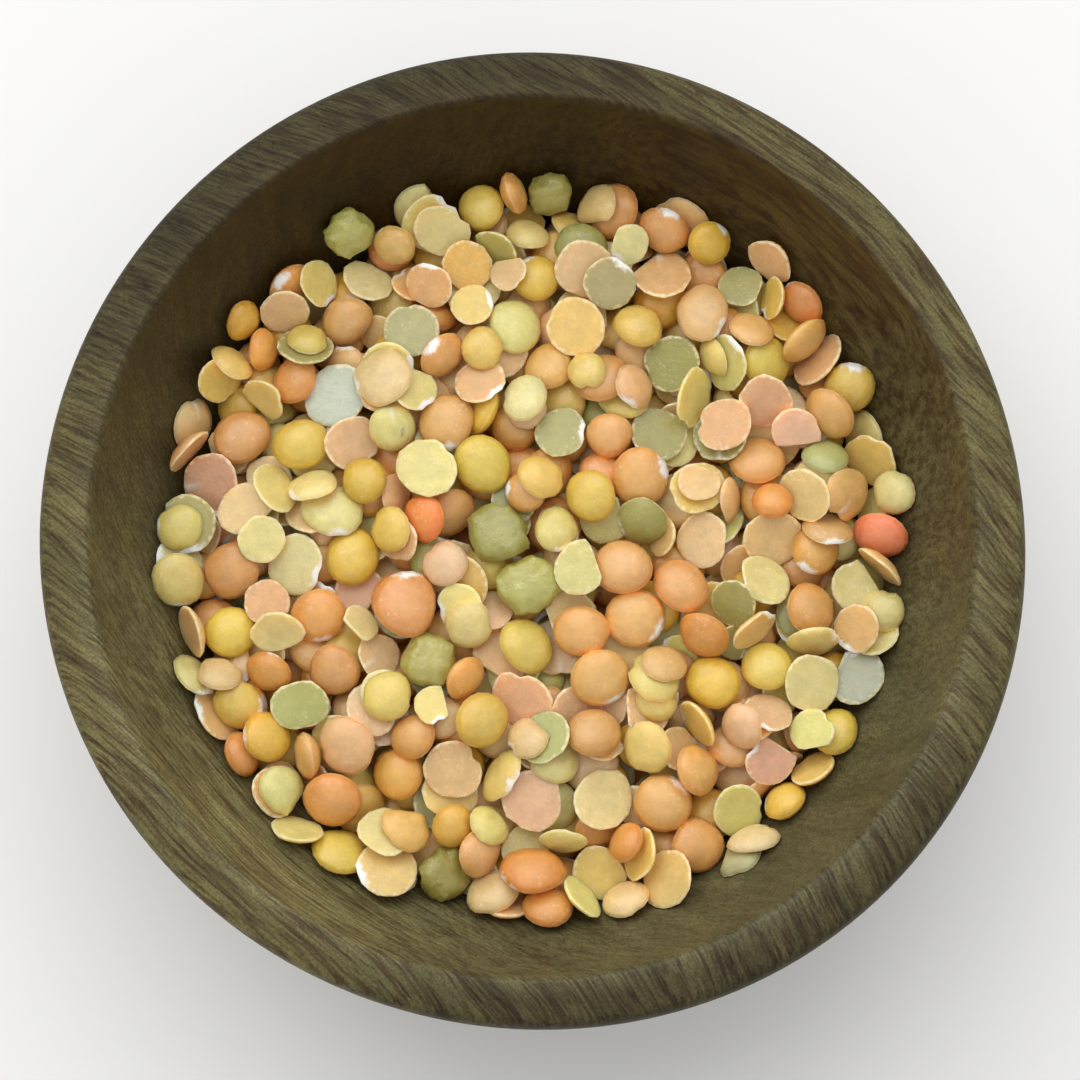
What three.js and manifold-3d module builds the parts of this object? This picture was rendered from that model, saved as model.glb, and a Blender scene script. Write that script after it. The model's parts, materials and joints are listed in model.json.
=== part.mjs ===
// A small turned wooden bowl of mixed dry lentils: whole ones, split halves and a few wrinkled green ones.
// Millimetres, +Z up. The origin is the centre of the flat foot, on the surface that the bowl stands on.
import * as THREE from "three";
import { mergeVertices } from "three/addons/utils/BufferGeometryUtils.js";
import Module from "manifold-3d";

// ---- Driving dimensions: bowl --------------------------------------------------------------------------------

const WIDTH = 80; // across the widest part of the outside
const HEIGHT = 32; // foot to rim
const FOOT_R = 22; // flat foot
const FOOT_BEVEL = 0.7;
const RIM_INNER_R = 35.8; // the hollow, where its wall would meet the level of the rim
const INNER_DEPTH = 25.5; // rim to the bottom of the hollow

// The rounded outer edge of the rim, from the widest part up: [distance in, depth below the rim].
const OUTER_EDGE = [
  [0, 3.8],
  [0.12, 0.96],
  [0.42, 0.33],
  [1, 0.05],
];

// Its soft inner edge, from the flat face of the rim down: [distance out from RIM_INNER_R, depth below the rim].
const INNER_EDGE = [
  [0.5, 0],
  [0.08, 0.22],
];
const RIM_EASE = 0.9; // depth at which the inner edge has run into the wall of the hollow

// The outside isn't quite round, as the wood has moved since it was turned: [share of radius, lobes, angle].
const WARP = [
  [0.0042, 1, -65],
  [0.007, 2, -37.5],
  [0.0043, 3, -38.4],
];

const BOWL_SIDES = 60;
const OUTSIDE_RINGS = [0.1, 0.28, 0.5, 0.74]; // shares of the height from the foot to the widest part
const HOLLOW_RINGS = [3.6, 7.6, 12, 16.4, 20.4, 23.4, 25]; // depths below the rim

// ---- Driving dimensions: lentils -----------------------------------------------------------------------------

const LENTIL_R = 2.2; // a whole lentil is about 4.4 mm across
const LENTIL_HALF = 1.08; // and 2.2 mm thick
const SIZE_SPREAD = 0.1; // the largest are this much larger than the mean, and the smallest smaller
const HEAP_EDGE_DEPTH = 9.4; // rim down to the lentils at the wall
const HEAP_RISE = 3.2; // how much higher the middle of the heap is
const CORE_COVER = 2.2; // thickness of the lentils that show, over the plain core
const WALL_GAP = 0.35; // between lentils and wood
const SINK = 0.32; // how far a lentil is let into what it rests on, so that the heap is one solid
const LENTILS = 220; // those that show
const MAX_TILT = radians(36);
const OPEN_TOP = 26.1; // no lentil stands higher than this

// The kinds of lentil, with their heights below and above the widest ring, and their share of the heap.
const KINDS = [
  { name: "whole", under: LENTIL_HALF, over: LENTIL_HALF, share: 0.42 },
  { name: "split half, face down", under: 0, over: LENTIL_HALF, share: 0.2 },
  { name: "split half, face up", under: LENTIL_HALF, over: 0, share: 0.32 },
  { name: "wrinkled", under: 1.4, over: 1.5, share: 0.06 },
];
const LENTIL_SIDES = 6;
const DOME_RING = 0.64; // share of the radius at which the upper dome has its ring

const CORE_SIDES = 40;
const CORE_RINGS = [0.8, 0.6, 0.35]; // shares of the core's radius

// ---- Helpers -------------------------------------------------------------------------------------------------

const wasm = await Module();
wasm.setup();

function radians(degrees) {
  return THREE.MathUtils.degToRad(degrees);
}

// Repeatable random numbers from 0 to 1.
let seed = 20240611;
function random() {
  seed = (Math.imul(seed, 1664525) + 1013904223) >>> 0;
  return seed / 4294967296;
}

// Turns a profile of [radius, height] about Z. reshape(point, ring) may move each point of a ring afterwards.
function turned(profile, sides, reshape = () => {}) {
  const outline = profile.map(([r, z]) => new THREE.Vector2(r, z));
  const geometry = new THREE.LatheGeometry(outline, sides);
  geometry.rotateX(Math.PI / 2); // the lathe's axis is Y
  const position = geometry.getAttribute("position");
  const point = new THREE.Vector3();
  for (let i = 0; i < position.count; i++) {
    point.fromBufferAttribute(position, i);
    reshape(point, i % profile.length);
    position.setXYZ(i, point.x, point.y, point.z);
  }
  return merged(geometry);
}

// Keeps only positions and welds the seams, so that the geometry is one closed surface.
function merged(geometry) {
  geometry.deleteAttribute("normal");
  geometry.deleteAttribute("uv");
  return mergeVertices(geometry, 1e-4);
}

function toSolid(geometry) {
  return new wasm.Manifold(
    new wasm.Mesh({
      numProp: 3,
      vertProperties: new Float32Array(geometry.attributes.position.array),
      triVerts: new Uint32Array(geometry.index.array),
    }),
  );
}

function toGeometry(solid) {
  const { vertProperties, triVerts } = solid.getMesh();
  const geometry = new THREE.BufferGeometry();
  geometry.setAttribute("position", new THREE.BufferAttribute(vertProperties, 3));
  geometry.setIndex(new THREE.BufferAttribute(triVerts, 1));
  geometry.computeVertexNormals();
  return geometry;
}

// ---- Bowl ----------------------------------------------------------------------------------------------------

// Radius of the hollow at a depth below the rim: steep under the rim and rounder towards the bottom.
function hollowRadius(depth) {
  const share = THREE.MathUtils.clamp(depth / INNER_DEPTH, 0, 1);
  return RIM_INNER_R * (1 - share ** 1.25) ** (1 / 2.5);
}

// Height of the hollow's surface at a radius.
function hollowHeight(radius) {
  const share = THREE.MathUtils.clamp(radius / RIM_INNER_R, 0, 1);
  return HEIGHT - INNER_DEPTH * (1 - share ** 2.5) ** (1 / 1.25);
}

// The outside's [radius, height] at a share of the height from the foot to the widest part: part of an ellipse.
const BELLY_Z = HEIGHT - OUTER_EDGE[0][1];
function outsidePoint(share) {
  const belly = WIDTH / 2;
  const semiHeight = BELLY_Z / Math.sqrt(1 - (FOOT_R / belly) ** 2);
  const drop = BELLY_Z * (1 - share);
  return [belly * Math.sqrt(1 - (drop / semiHeight) ** 2), BELLY_Z - drop];
}

// Moves a point of the outside in or out with its angle.
function warp(point) {
  const angle = Math.atan2(point.y, point.x);
  const waves = WARP.map(([amount, lobes, phase]) => amount * Math.cos(lobes * (angle - radians(phase))));
  const scale = waves.reduce((sum, wave) => sum + wave, 1);
  point.x *= scale;
  point.y *= scale;
}

function bowl() {
  const outside = [
    [0, 0],
    [FOOT_R - FOOT_BEVEL, 0],
    [FOOT_R, FOOT_BEVEL],
    ...OUTSIDE_RINGS.map(outsidePoint),
    ...OUTER_EDGE.map(([inwards, depth]) => [WIDTH / 2 - inwards, HEIGHT - depth]),
  ];
  const inside = [
    ...INNER_EDGE.map(([outwards, depth]) => [RIM_INNER_R + outwards, HEIGHT - depth]),
    ...[RIM_EASE, ...HOLLOW_RINGS].map((depth) => [hollowRadius(depth), HEIGHT - depth]),
    [0, HEIGHT - INNER_DEPTH],
  ];
  const geometry = turned([...outside, ...inside], BOWL_SIDES, (point, ring) => {
    if (ring < outside.length) warp(point);
  });
  const material = new THREE.MeshStandardMaterial({ color: "#5e5440", roughness: 0.55, metalness: 0 });
  const mesh = new THREE.Mesh(geometry, material);
  mesh.name = "bowl";
  return mesh;
}

// ---- Lentils -------------------------------------------------------------------------------------------------

// Height of the heap's surface: a low dome, level with HEAP_EDGE_DEPTH at the wall.
const HEAP_EDGE_R = hollowRadius(HEAP_EDGE_DEPTH);
function heapHeight(radius) {
  const share = Math.min(radius / HEAP_EDGE_R, 1);
  return HEIGHT - HEAP_EDGE_DEPTH + HEAP_RISE * (1 - share ** 2);
}

// The plain middle of the heap, just under the lentils that show.
function heapCore() {
  const wall = HOLLOW_RINGS.filter((depth) => depth > HEAP_EDGE_DEPTH)
    .map((depth) => [hollowRadius(depth) - WALL_GAP, HEIGHT - depth])
    .reverse();
  const [topR] = wall[wall.length - 1];
  const dome = [...CORE_RINGS, 0].map((share) => [topR * share, heapHeight(topR * share) - CORE_COVER]);
  return toSolid(turned([[0, HEIGHT - INNER_DEPTH + WALL_GAP], ...wall, ...dome], CORE_SIDES));
}

// One lentil, lying level at the origin.
function lentilGeometry({ under, over }, radius) {
  const ring = [DOME_RING * radius, over * Math.sqrt(1 - DOME_RING ** 2)];
  const top = over > 0 ? [ring, [0, over]] : [[0, 0]];
  return turned([[0, -under], [radius, 0], ...top], LENTIL_SIDES);
}

// A height map of what has been laid so far, which each new lentil comes to rest on.
const CELL = 0.25;
const CELLS = Math.ceil((2 * RIM_INNER_R) / CELL);
const cellCentre = (index) => (index + 0.5) * CELL - RIM_INNER_R;
const cellAt = (value) => THREE.MathUtils.clamp(Math.floor((value + RIM_INNER_R) / CELL), 0, CELLS - 1);
const heights = Float32Array.from({ length: CELLS * CELLS }, (_, cell) => {
  const radius = Math.hypot(cellCentre(cell % CELLS), cellCentre(Math.floor(cell / CELLS)));
  return Math.max(hollowHeight(radius + WALL_GAP + SINK), heapHeight(radius) - CORE_COVER);
});

// Calls visit(cell, x, y) for each cell with its centre in a rectangle.
function eachCell(lowX, lowY, highX, highY, visit) {
  for (let row = cellAt(lowY); row <= cellAt(highY); row++)
    for (let column = cellAt(lowX); column <= cellAt(highX); column++)
      visit(row * CELLS + column, cellCentre(column), cellCentre(row));
}

// Calls visit(cell, z) for each cell that a face of the geometry covers, seen from above.
function eachCovered(geometry, visit) {
  const position = geometry.getAttribute("position");
  const corners = [new THREE.Vector3(), new THREE.Vector3(), new THREE.Vector3()];
  const [a, b, c] = corners;
  for (let i = 0; i < geometry.index.count; i += 3) {
    corners.forEach((corner, k) => corner.fromBufferAttribute(position, geometry.index.getX(i + k)));
    b.sub(a);
    c.sub(a);
    const area = b.x * c.y - c.x * b.y;
    const low = [a.x + Math.min(0, b.x, c.x), a.y + Math.min(0, b.y, c.y)];
    const high = [a.x + Math.max(0, b.x, c.x), a.y + Math.max(0, b.y, c.y)];
    eachCell(...low, ...high, (cell, x, y) => {
      const shareB = ((x - a.x) * c.y - c.x * (y - a.y)) / area;
      const shareC = (b.x * (y - a.y) - (x - a.x) * b.y) / area;
      const covered = shareB >= 0 && shareC >= 0 && shareB + shareC <= 1;
      if (covered) visit(cell, a.z + shareB * b.z + shareC * c.z);
    });
  }
}

// Turns the upright direction to the slope of what lies within reach, no further than MAX_TILT.
function restingTilt(x, y, reach) {
  let [xx, yy, xz, yz] = [0, 0, 0, 0];
  eachCell(x - reach, y - reach, x + reach, y + reach, (cell, cellX, cellY) => {
    const dx = cellX - x;
    const dy = cellY - y;
    if (dx * dx + dy * dy > reach * reach) return;
    xx += dx * dx;
    yy += dy * dy;
    xz += dx * heights[cell];
    yz += dy * heights[cell];
  });
  const slope = new THREE.Vector3(-xz / xx, -yz / yy, 0);
  const tilt = Math.min(Math.atan(slope.length()), MAX_TILT);
  const axis = new THREE.Vector3(-slope.y, slope.x, 0).normalize();
  return new THREE.Quaternion().setFromAxisAngle(axis, tilt);
}

// The lentil's geometry where it comes to rest if it is let down at x, y.
function letDown(kind, radius, turn, x, y) {
  const geometry = lentilGeometry(kind, radius);
  geometry.rotateZ(turn);
  geometry.applyQuaternion(restingTilt(x, y, radius));
  geometry.translate(x, y, 0);
  let rise = -Infinity;
  eachCovered(geometry, (cell, z) => {
    rise = Math.max(rise, heights[cell] - z);
  });
  geometry.translate(0, 0, rise - SINK);
  geometry.computeBoundingBox();
  return geometry;
}

// True if every corner stays clear of the wood.
function clearsWall(geometry) {
  const position = geometry.getAttribute("position");
  const radiusAt = (i) => Math.hypot(position.getX(i), position.getY(i));
  const limitAt = (i) => hollowRadius(HEIGHT - position.getZ(i)) - WALL_GAP;
  return Array.from({ length: position.count }, (_, i) => radiusAt(i) <= limitAt(i)).every(Boolean);
}

// Lets a lentil down at a random place, and nearer the middle as long as it crosses the wall.
const NUDGE = 0.25;
function dropped(kind, radius) {
  const turn = random() * 2 * Math.PI;
  const angle = random() * 2 * Math.PI;
  let reach = (HEAP_EDGE_R - radius / 2) * Math.sqrt(random());
  let geometry;
  do {
    reach -= NUDGE;
    geometry = letDown(kind, radius, turn, reach * Math.cos(angle), reach * Math.sin(angle));
  } while (reach > 0 && !clearsWall(geometry));
  return { geometry, below: heapHeight(reach) - geometry.boundingBox.max.z };
}

// Lays one lentil: of several random places, the one where it lies lowest under the heap's surface.
const PLACES = 16;
function layLentil() {
  let mark = random();
  const kind = KINDS.find(({ share }) => (mark -= share) < 0);
  const radius = LENTIL_R * (1 + SIZE_SPREAD * (2 * random() - 1));
  const places = Array.from({ length: PLACES }, () => dropped(kind, radius));
  const { geometry } = places.reduce((best, place) => (place.below > best.below ? place : best));
  if (geometry.boundingBox.max.z > OPEN_TOP) return null;
  eachCovered(geometry, (cell, z) => {
    heights[cell] = Math.max(heights[cell], z);
  });
  return toSolid(geometry);
}

function lentils() {
  const laid = Array.from({ length: LENTILS }, layLentil).filter(Boolean);
  const bodies = wasm.Manifold.union([heapCore(), ...laid]).decompose();
  const heap = bodies.reduce((largest, body) => (body.volume() > largest.volume() ? body : largest));
  const material = new THREE.MeshStandardMaterial({ color: "#dba868", roughness: 0.6, metalness: 0 });
  const mesh = new THREE.Mesh(toGeometry(heap), material);
  mesh.name = "lentils";
  return mesh;
}

// ---- The part ------------------------------------------------------------------------------------------------

const dish = new THREE.Group();
dish.add(bowl(), lentils());

export default dish;
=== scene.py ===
import json
import math

import bpy
import numpy as np
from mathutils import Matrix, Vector, noise


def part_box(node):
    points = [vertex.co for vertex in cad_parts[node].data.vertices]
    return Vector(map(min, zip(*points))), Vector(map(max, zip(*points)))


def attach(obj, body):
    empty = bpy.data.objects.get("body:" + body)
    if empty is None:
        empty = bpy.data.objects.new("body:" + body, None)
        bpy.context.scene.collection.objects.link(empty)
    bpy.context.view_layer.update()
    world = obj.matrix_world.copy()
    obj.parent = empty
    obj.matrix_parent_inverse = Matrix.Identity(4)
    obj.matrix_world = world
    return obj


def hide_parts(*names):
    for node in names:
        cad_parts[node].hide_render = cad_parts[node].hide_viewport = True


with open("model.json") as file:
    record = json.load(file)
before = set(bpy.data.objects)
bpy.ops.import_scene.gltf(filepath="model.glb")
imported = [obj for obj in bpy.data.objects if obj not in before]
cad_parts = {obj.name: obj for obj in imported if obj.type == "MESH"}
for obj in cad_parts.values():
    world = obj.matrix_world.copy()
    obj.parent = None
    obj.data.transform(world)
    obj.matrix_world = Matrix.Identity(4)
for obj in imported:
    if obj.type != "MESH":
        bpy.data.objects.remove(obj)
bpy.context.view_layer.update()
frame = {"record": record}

# ---- Sizes, in millimetres unless they say otherwise -----------------------------------------------

MM = 0.001  # one millimetre in Blender's metres

# The turned bowl. Its height and width come from the frame; the rest is the form of its section.
BOWL_LOW, BOWL_HIGH = (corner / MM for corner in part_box("bowl"))
HEIGHT = BOWL_HIGH.z
BELLY_R = (BOWL_HIGH.x - BOWL_LOW.x + BOWL_HIGH.y - BOWL_LOW.y) / 4
BELLY_DEPTH = 3.8  # rim down to the widest part
BELLY_Z = HEIGHT - BELLY_DEPTH
FOOT_R = 22
FOOT_BEVEL = 0.7
SIDE_FROM = 2.2  # height where the side's own curve starts
RIM_FACE = (36.3, 37.7)  # the level part of the rim, which rolls over on both sides
OUTER_ROLL = 5  # how square the outer roll is: 2 would be a quarter of an ellipse
RIM_INNER_R = 35.8  # the hollow, where its wall would meet the level of the rim
RIM_EASE = 0.9  # depth at which the inner roll has run into the wall of the hollow
INNER_DEPTH = 25.5  # rim to the bottom of the hollow
RADIUS_POWER, DEPTH_POWER = 2.5, 1.25  # of the hollow's section: 2 and 2 would be an ellipse
BOWL_SIDES = 192
SIDE_RINGS, OUTER_RINGS, INNER_RINGS, HOLLOW_RINGS = 22, 15, 9, 28  # ends included

# The wood has moved since it was turned, so the outside isn't quite round:
# (share of radius, lobes, degrees).
WARP = [(0.0042, 1, -65), (0.007, 2, -37.5), (0.0043, 3, -38.4)]
WARP_EASE = 1.1  # how far out from the hollow's wall the warp is full

# The heap of lentils.
HEAP_EDGE_DEPTH = 9.2  # rim down to the lentils at the wall
HEAP_RISE = 3.0  # how much higher the middle is
CORE_COVER = 6.0  # depth of the loose lentils over the core
CORE_GAPS = (0.35, 0.6)  # from the core to the wall of the hollow, and to its bottom
CORE_SIDES = 96
FREE_FROM = frame["record"]["physics"]["openings"][0]["box_m"][0][2] / MM  # the free space above the heap
WALL_GAP = 0.03
EDGE_GAP = 0.2  # from the heap's edge to the middle of the outermost lentil, as a share of its radius

# A usual lentil, and the range of the others as shares of it.
LENTIL_R = 2.17
LENTIL_HALF = 1.06  # half the thickness of a whole one
SIZE_SPREAD = 0.1
SIZE_RANGE = (0.76, 1.2)
THICKNESS_RANGE = (0.86, 1.1)
WRINKLED_THICKNESS = 1.12

rng = np.random.default_rng(1906)


# ---- Helpers ---------------------------------------------------------------------------------------


def linear(hex_colour):
    """An sRGB hex value as linear red, green and blue."""
    parts = [int(hex_colour[i : i + 2], 16) / 255 for i in (1, 3, 5)]
    return [c / 12.92 if c <= 0.04045 else ((c + 0.055) / 1.055) ** 2.4 for c in parts]


def add(tree, kind, inputs=None, out=0, **settings):
    """Adds a shader node, links each input that is a socket, and returns one of the node's outputs."""
    node = tree.nodes.new("ShaderNode" + kind)
    for name, value in settings.items():
        setattr(node, name, value)
    for name, value in (inputs or {}).items():
        if isinstance(value, bpy.types.NodeSocket):
            tree.links.new(value, node.inputs[name])
        else:
            node.inputs[name].default_value = value
    return node.outputs[out]


def finish_material(name, make_shader):
    """A material with the given shader. make_shader(tree) adds its nodes and returns its output."""
    material = bpy.data.materials.new(name)
    material.use_nodes = True
    tree = material.node_tree
    tree.nodes.clear()
    output = tree.nodes.new("ShaderNodeOutputMaterial")
    tree.links.new(make_shader(tree), output.inputs["Surface"])
    return material


def turned(name, profile, sides, poke_up=0.0):
    """A round solid from (radius, height) pairs, bottom first: a circle, extruded and scaled by rings."""
    bpy.ops.object.select_all(action="DESELECT")
    radius, height = profile[0]
    place = (0, 0, height * MM)
    bpy.ops.mesh.primitive_circle_add(vertices=sides, radius=radius * MM, fill_type="NGON", location=place)
    piece = bpy.context.object
    piece.name = piece.data.name = name
    bpy.ops.object.transform_apply(location=True, rotation=True, scale=True)
    bpy.ops.object.mode_set(mode="EDIT")
    for next_radius, next_height in profile[1:]:
        rise = (0, 0, (next_height - height) * MM)
        bpy.ops.mesh.extrude_region_move(TRANSFORM_OT_translate={"value": rise})
        scale = next_radius / radius
        bpy.ops.transform.resize(value=(scale, scale, 1), center_override=(0, 0, 0))
        radius, height = next_radius, next_height
    bpy.ops.mesh.select_all(action="DESELECT")
    bpy.ops.mesh.select_face_by_sides(number=4, type="GREATER")
    bpy.ops.mesh.poke(offset=poke_up * MM)
    bpy.ops.mesh.select_all(action="SELECT")
    bpy.ops.mesh.normals_make_consistent(inside=False)
    bpy.ops.object.mode_set(mode="OBJECT")
    return piece


def points_of(mesh):
    """A mesh's vertices as rows of x, y, z, in millimetres."""
    flat = np.empty(len(mesh.vertices) * 3)
    mesh.vertices.foreach_get("co", flat)
    return flat.reshape(-1, 3) / MM


# ---- The turned bowl -------------------------------------------------------------------------------


def hollow_radius(depth):
    """Radius of the hollow at a depth below the rim: steep under the rim, rounder towards the bottom."""
    share = np.clip(depth / INNER_DEPTH, 0, 1)
    return RIM_INNER_R * (1 - share**DEPTH_POWER) ** (1 / RADIUS_POWER)


def hollow_height(radius):
    """Height of the hollow's surface at a radius."""
    share = np.clip(radius / RIM_INNER_R, 0, 1)
    return HEIGHT - INNER_DEPTH * (1 - share**RADIUS_POWER) ** (1 / DEPTH_POWER)


def outside_radius(z):
    """Radius of the outside below the belly: part of an ellipse that ends at the foot."""
    semi_height = BELLY_Z / math.sqrt(1 - (FOOT_R / BELLY_R) ** 2)
    return BELLY_R * math.sqrt(1 - ((BELLY_Z - z) / semi_height) ** 2)


def bowl_profile():
    """The section from the middle of the foot, up over the rim and down to the middle of the hollow."""
    # The foot is flat as far as its bevel, which the next rings round off.
    foot = [(3, 0), (12, 0), (FOOT_R - FOOT_BEVEL - 0.4, 0), (FOOT_R - FOOT_BEVEL, 0.02)]
    foot += [(FOOT_R - 0.12, 0.3), (FOOT_R, FOOT_BEVEL), (FOOT_R + 0.2, FOOT_BEVEL + 0.35)]
    side = [(outside_radius(z), z) for z in np.linspace(SIDE_FROM, BELLY_Z, SIDE_RINGS)]
    roll_r = BELLY_R - RIM_FACE[1]
    power = 2 / OUTER_ROLL
    outer = [
        (RIM_FACE[1] + roll_r * math.cos(t) ** power, BELLY_Z + BELLY_DEPTH * math.sin(t) ** power)
        for t in np.linspace(0, math.pi / 2, OUTER_RINGS)[1:-1]
    ]
    # The inner roll is a curve that leaves the level face and meets the wall, each along its own slope.
    wall_r = hollow_radius(RIM_EASE)
    step = 0.1
    wall_slope = (hollow_radius(RIM_EASE) - hollow_radius(RIM_EASE + step)) / step
    bend_r = wall_r + wall_slope * RIM_EASE
    inner = []
    for t in np.linspace(0, 1, INNER_RINGS):
        reach = (1 - t) ** 2 * RIM_FACE[0] + 2 * t * (1 - t) * bend_r + t**2 * wall_r
        inner.append((reach, HEIGHT - t**2 * RIM_EASE))
    sweep = np.linspace(0, math.pi / 2, HOLLOW_RINGS)[1:-1]
    depths = RIM_EASE + (INNER_DEPTH - RIM_EASE) * np.sin(sweep)
    hollow = [(hollow_radius(depth), HEIGHT - depth) for depth in depths]
    return foot + side + outer + [(RIM_FACE[1], HEIGHT)] + inner + hollow


def make_bowl():
    """The turned bowl, warped: the outside moves in or out with its angle, and the hollow stays round."""
    bowl = turned("turned_bowl", bowl_profile(), BOWL_SIDES)
    points = points_of(bowl.data)
    radius = np.hypot(points[:, 0], points[:, 1])
    angle = np.arctan2(points[:, 1], points[:, 0])
    waves = sum(amount * np.cos(lobes * (angle - math.radians(phase))) for amount, lobes, phase in WARP)
    outside = np.clip((radius - hollow_radius(HEIGHT - points[:, 2])) / WARP_EASE, 0, 1)
    points[:, :2] *= (1 + waves * outside)[:, None]
    widest = np.abs(points[:, :2]).max(axis=0)
    allowed = np.array([min(-BOWL_LOW.x, BOWL_HIGH.x), min(-BOWL_LOW.y, BOWL_HIGH.y)])
    points[:, :2] *= np.minimum(1, allowed / widest)
    bowl.data.vertices.foreach_set("co", (points * MM).ravel())
    bowl.data.attributes.new("hollow", "FLOAT", "POINT").data.foreach_set("value", 1 - outside)
    bowl.data.shade_smooth()
    return bowl


# ---- Shapes of single lentils ----------------------------------------------------------------------

# Rings of a whole and of a split lentil, bottom first: (share of the radius, share of LENTIL_HALF).
WHOLE_RINGS = [(0.5, -0.85), (0.86, -0.46), (1.0, 0.0), (0.86, 0.46), (0.5, 0.85)]
SPLIT_RINGS = [(0.55, -0.8), (0.9, -0.38), (1.0, -0.08), (0.97, 0.0), (0.87, 0.0)]
WHOLE_SIDES, SPLIT_SIDES = 18, 20
WHOLE_POKE = 0.13  # how far the middle of a dome stands out from its last ring

# A wrinkled lentil starts from a cube this wide, as a share of its radius.
CUSHION_SIZE = 1.7
CUSHION_CUTS = 9
CUSHION_ROUND = 0.72  # 0 would leave it a cube, and 1 make it a ball

# How its outline wavers: (lobes, usual height as a share of the radius), with more for a split lentil.
WAVES = [(2, 0.045), (3, 0.014), (4, 0.008), (5, 0.006)]
SPLIT_WAVES = [(4, 0.012), (6, 0.01), (9, 0.011)]

# The notch at the eye of a split lentil, and the sides that are broken off, as shares of its radius.
NOTCH_DEPTH = 0.18  # at most
NOTCH_WIDTH = 0.25  # in radians
BROKEN_SHARE = 0.18  # of all split lentils
BROKEN_AT = (0.5, 0.93)  # how far from the middle

# Wrinkles: (scale of their noise for each millimetre, depth as a share of the lentil).
DENTS, FOLDS, CREASES = (0.45, 0.08), (0.75, 0.22), (1.25, 0.1)
FULLNESS = 1.06  # makes up for what the wrinkles take away

# The surface of every lentil is a little uneven, and a little bent.
SWELL = 0.05
SWELL_RATE = 1.3  # in radians for each millimetre
BEND = 0.025


def cushion(name):
    """A cube of many faces, blown up most of the way to a ball, so that it stays a little squarish."""
    bpy.ops.object.select_all(action="DESELECT")
    bpy.ops.mesh.primitive_cube_add(size=CUSHION_SIZE * MM)
    piece = bpy.context.object
    piece.name = piece.data.name = name
    bpy.ops.object.mode_set(mode="EDIT")
    bpy.ops.mesh.select_all(action="SELECT")
    bpy.ops.mesh.subdivide(number_cuts=CUSHION_CUTS)
    bpy.ops.transform.tosphere(value=CUSHION_ROUND)
    bpy.ops.object.mode_set(mode="OBJECT")
    return piece


def base_form(piece):
    """Points within one unit, and faces as rows of corners."""
    unit = points_of(piece.data)
    faces = [tuple(face.vertices) for face in piece.data.polygons]
    bpy.data.objects.remove(piece)
    return unit, faces


FORMS = {
    "whole": base_form(turned("whole", WHOLE_RINGS, WHOLE_SIDES, poke_up=WHOLE_POKE)),
    "split": base_form(turned("split", SPLIT_RINGS, SPLIT_SIDES)),
    "wrinkled": base_form(cushion("wrinkled")),
}


def waver(angle, lobes, spread):
    """A wave round the outline, of random height."""
    return rng.normal(0, spread) * np.cos(lobes * angle + rng.uniform(0, 2 * math.pi))


def vary(form, radius, thickness):
    """One lentil's own points. Its outline wavers, and a split half may be notched or have a broken side."""
    unit = FORMS[form][0]
    angle = np.arctan2(unit[:, 1], unit[:, 0])
    outline = np.ones(len(unit))
    for lobes, spread in WAVES:
        outline += waver(angle, lobes, spread)
    if form == "split":
        outline += sum(waver(angle, lobes, spread) for lobes, spread in SPLIT_WAVES)
        outline -= rng.uniform(0, NOTCH_DEPTH) * np.exp(-((angle / NOTCH_WIDTH) ** 2))
        if rng.random() < BROKEN_SHARE:
            broken = rng.uniform(*BROKEN_AT)
            facing = np.maximum(np.cos(angle - rng.uniform(-3, 3)), 0.2)  # never nothing, as it divides
            outline = np.minimum(outline, broken / facing)
    points = unit * [radius, radius, thickness]
    points[:, :2] *= outline[:, None]
    if form == "wrinkled":
        shift = Vector(rng.uniform(0, 50, 3))
        dents = np.array([noise.noise(Vector(point) * DENTS[0] + shift) for point in points])
        folds = np.array([noise.noise(Vector(point) * FOLDS[0] - shift) for point in points])
        creases = np.array([noise.noise(Vector(point) * CREASES[0] + shift) for point in points])
        full = FULLNESS + DENTS[1] * dents - FOLDS[1] * np.abs(folds) - CREASES[1] * np.abs(creases)
        points *= full[:, None]
    x, y, z = points.T
    z += SWELL * np.sin(x * SWELL_RATE + rng.uniform(0, 6)) * np.sin(y * SWELL_RATE + rng.uniform(0, 6))
    z += rng.normal(0, BEND) * (x**2 - y**2) / radius
    return points


# ---- Laying the heap -------------------------------------------------------------------------------

HEAP_EDGE_R = float(hollow_radius(HEAP_EDGE_DEPTH))


def heap_height(radius):
    """The heap's surface: a low dome."""
    share = np.minimum(radius / HEAP_EDGE_R, 1)
    return HEIGHT - HEAP_EDGE_DEPTH + HEAP_RISE * (1 - share**2)


# Heights of what has been laid so far, on a square grid, and the cells over lentils that stay in view.
CELL = 0.2
CELLS = math.ceil(2 * RIM_INNER_R / CELL)
centres = (np.arange(CELLS) + 0.5) * CELL - RIM_INNER_R
grid_r = np.hypot(centres[None, :], centres[:, None]).ravel()
ground = np.maximum(hollow_height(grid_r + WALL_GAP), heap_height(grid_r) - CORE_COVER)
in_view = np.zeros(CELLS * CELLS, bool)

# How a lentil settles. It is shifted and leant at random, in millimetres and radians, finer each time.
NUDGES = ((0.5, 0.3), (0.3, 0.16), (0.15, 0.08), (0.08, 0.04))
TRIES = 26  # for each of them
MAX_LEAN = math.radians(50)
SLOPE_REACH = 0.6  # how much of its radius feels the slope under it

# What makes a place worse, in millimetres of height.
LEAN_COST = 0.12  # for each square radian, as a steep lentil is less likely to stay
COVER_COST = 40  # for the share of the lentil that covers one kept in view
HIGH_COST = 10  # for each millimetre that it reaches into the free space

# When a lentil is laid.
MOST_COVER = 0.04  # the share of it that may cover one kept in view
FACE_UP_SHARE = 0.62
TONE_SPREAD = 0.05  # how much lighter or darker it may be
HUE_SPREAD = [0.015, 0.045, 0.09]  # the same for its red, green and blue alone

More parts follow.
